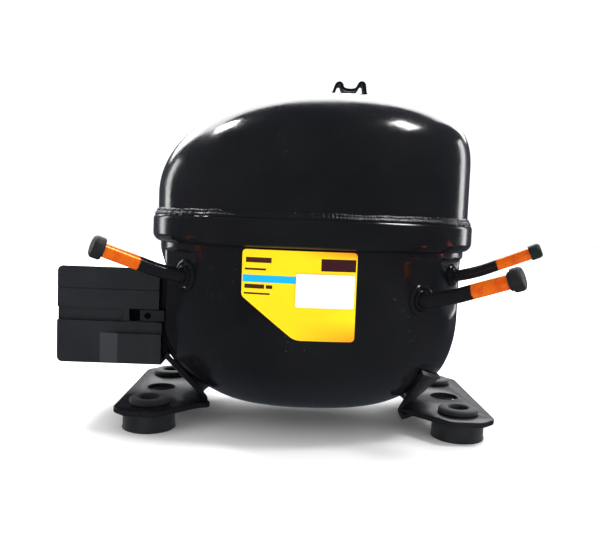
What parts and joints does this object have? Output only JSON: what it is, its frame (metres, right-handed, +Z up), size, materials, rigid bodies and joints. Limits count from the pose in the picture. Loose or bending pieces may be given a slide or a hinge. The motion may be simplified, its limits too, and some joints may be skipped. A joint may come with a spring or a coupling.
{
  "type": "hermetic reciprocating compressor",
  "caption": "Hermetic reciprocating refrigeration compressor: welded oval steel shell on rubber-mounted feet, with capped tube connectors, a side electrical box and a working pump inside.",
  "frame": {"origin": "under the middle of the outline, on the plane that the rubber grommets stand on", "axes": "+X towards the foot plate away from the electrical box, +Y to the back, +Z up; the side with the label faces -Y"},
  "size_m": [0.2564, 0.1652, 0.1965],
  "materials": {
    "enamel": "glossy black stoved enamel",
    "weld_enamel": "rippled weld bead under glossy black enamel",
    "foot_paint": "satin black paint on pressed steel",
    "foot_rubber": "moulded dark grey rubber, matt",
    "cap_rubber": "moulded black rubber, matt",
    "green_rubber": "moulded very dark green rubber, matt",
    "copper": "bare drawn copper, lightly oxidised, its lower half painted black",
    "label": "printed adhesive film, yellow, left without text",
    "paper": "white paper sticker, left without text",
    "box_plastic": "moulded black plastic with a fine spark-eroded texture",
    "dark_plastic": "moulded black plastic",
    "cast_iron": "as cast, machined on its working faces",
    "steel": "turned and ground steel",
    "laminations": "stacked electrical steel sheet",
    "winding": "varnished copper winding wire",
    "aluminium": "die-cast aluminium",
    "gasket": "compressed fibre gasket",
    "muffler": "moulded cream plastic",
    "zinc": "yellow zinc plated steel"
  },
  "bodies": {
    "compressor_shell": {"lower_shell": "enamel", "upper_shell": "enamel", "weld_seam": "weld_enamel", "lifting_bracket": "enamel", "rating_label": "label", "label_sticker": "paper", "foot_plate_right": "foot_paint", "foot_plate_left": "foot_paint", "grommet_front_left": "foot_rubber", "grommet_front_right": "foot_rubber", "grommet_rear_right": "foot_rubber", "grommet_rear_left": "foot_rubber", "discharge_boss": "enamel", "discharge_tube": "copper", "suction_boss": "enamel", "suction_tube": "copper", "process_boss": "enamel", "process_tube": "copper", "hermetic_terminal": "steel", "terminal_fence": "dark_plastic", "starting_device": "dark_plastic", "overload_protector": "dark_plastic", "earth_screw": "zinc", "suspension_spring_1": "steel", "suspension_spring_2": "steel", "suspension_spring_3": "steel", "suspension_spring_4": "steel", "discharge_loop": "copper"},
    "pump_unit": {"crankcase": "cast_iron", "stator_core": "laminations", "stator_winding": "winding", "suction_reed": "steel", "valve_plate": "steel", "discharge_reed": "steel", "head_gasket": "gasket", "cylinder_head": "aluminium", "suction_muffler": "muffler", "discharge_muffler": "cast_iron", "stator_screw_1": "steel", "stator_screw_2": "steel", "stator_screw_3": "steel", "stator_screw_4": "steel", "head_screw_1": "steel", "head_screw_2": "steel", "head_screw_3": "steel", "head_screw_4": "steel"},
    "crankshaft": {"crankshaft": "steel", "rotor": "laminations", "balance_weight": "cast_iron", "oil_pickup": "steel"},
    "slide_block": {"slide_block": "steel"},
    "yoke_plug": {"yoke_plug": "steel"},
    "piston_yoke": {"piston_yoke": "cast_iron"},
    "discharge_cap": {"discharge_cap": "cap_rubber"},
    "suction_cap": {"suction_cap": "cap_rubber"},
    "process_cap": {"process_cap": "green_rubber"},
    "electrical_cover": {"electrical_cover": "box_plastic", "cord_clamp": "box_plastic"}
  },
  "joints": [
    {"name": "suspension_travel", "type": "slide", "parent": "compressor_shell", "child": "pump_unit", "axis": [0, 0, 1], "range_m": [-0.002, 0.002], "stiffness_N_per_m": 16000, "springref_m": 0.0043, "deforming": ["suspension_spring_1", "suspension_spring_2", "suspension_spring_3", "suspension_spring_4", "discharge_loop"]},
    {"name": "crank_rotation", "type": "hinge", "parent": "pump_unit", "child": "crankshaft", "pos_m": [0.00298, 0.00576, 0.1], "axis": [0, 0, 1], "continuous": true},
    {"name": "slide_block_pivot", "type": "hinge", "parent": "crankshaft", "child": "slide_block", "pos_m": [0.01178, 0.00576, 0.144], "axis": [0, 0, 1], "continuous": true},
    {"name": "yoke_plug_pivot", "type": "hinge", "parent": "crankshaft", "child": "yoke_plug", "pos_m": [0.00738, 0.00576, 0.144], "axis": [0, 0, 1], "continuous": true},
    {"name": "yoke_pivot", "type": "hinge", "parent": "yoke_plug", "child": "piston_yoke", "pos_m": [0.01178, 0.00576, 0.144], "axis": [0, 0, 1], "continuous": true},
    {"name": "discharge_cap_pull", "type": "slide", "parent": "compressor_shell", "child": "discharge_cap", "axis": [-0.8346, -0.425, 0.3505], "range_m": [0, 0.02]},
    {"name": "suction_cap_pull", "type": "slide", "parent": "compressor_shell", "child": "suction_cap", "axis": [0.8069, -0.4826, 0.3407], "range_m": [0, 0.02]},
    {"name": "process_cap_pull", "type": "slide", "parent": "compressor_shell", "child": "process_cap", "axis": [0.8675, -0.2999, 0.3968], "range_m": [0, 0.02]},
    {"name": "cover_slide", "type": "slide", "parent": "compressor_shell", "child": "electrical_cover", "axis": [-1, 0, 0], "range_m": [0, 0.07]}
  ],
  "couplings": [
    {"joint": "slide_block_pivot", "follows": "crank_rotation", "ratio": -1},
    {"joint": "yoke_plug_pivot", "follows": "crank_rotation", "ratio": -2},
    {"joint": "yoke_pivot", "follows": "crank_rotation", "ratio": 1}
  ]
}
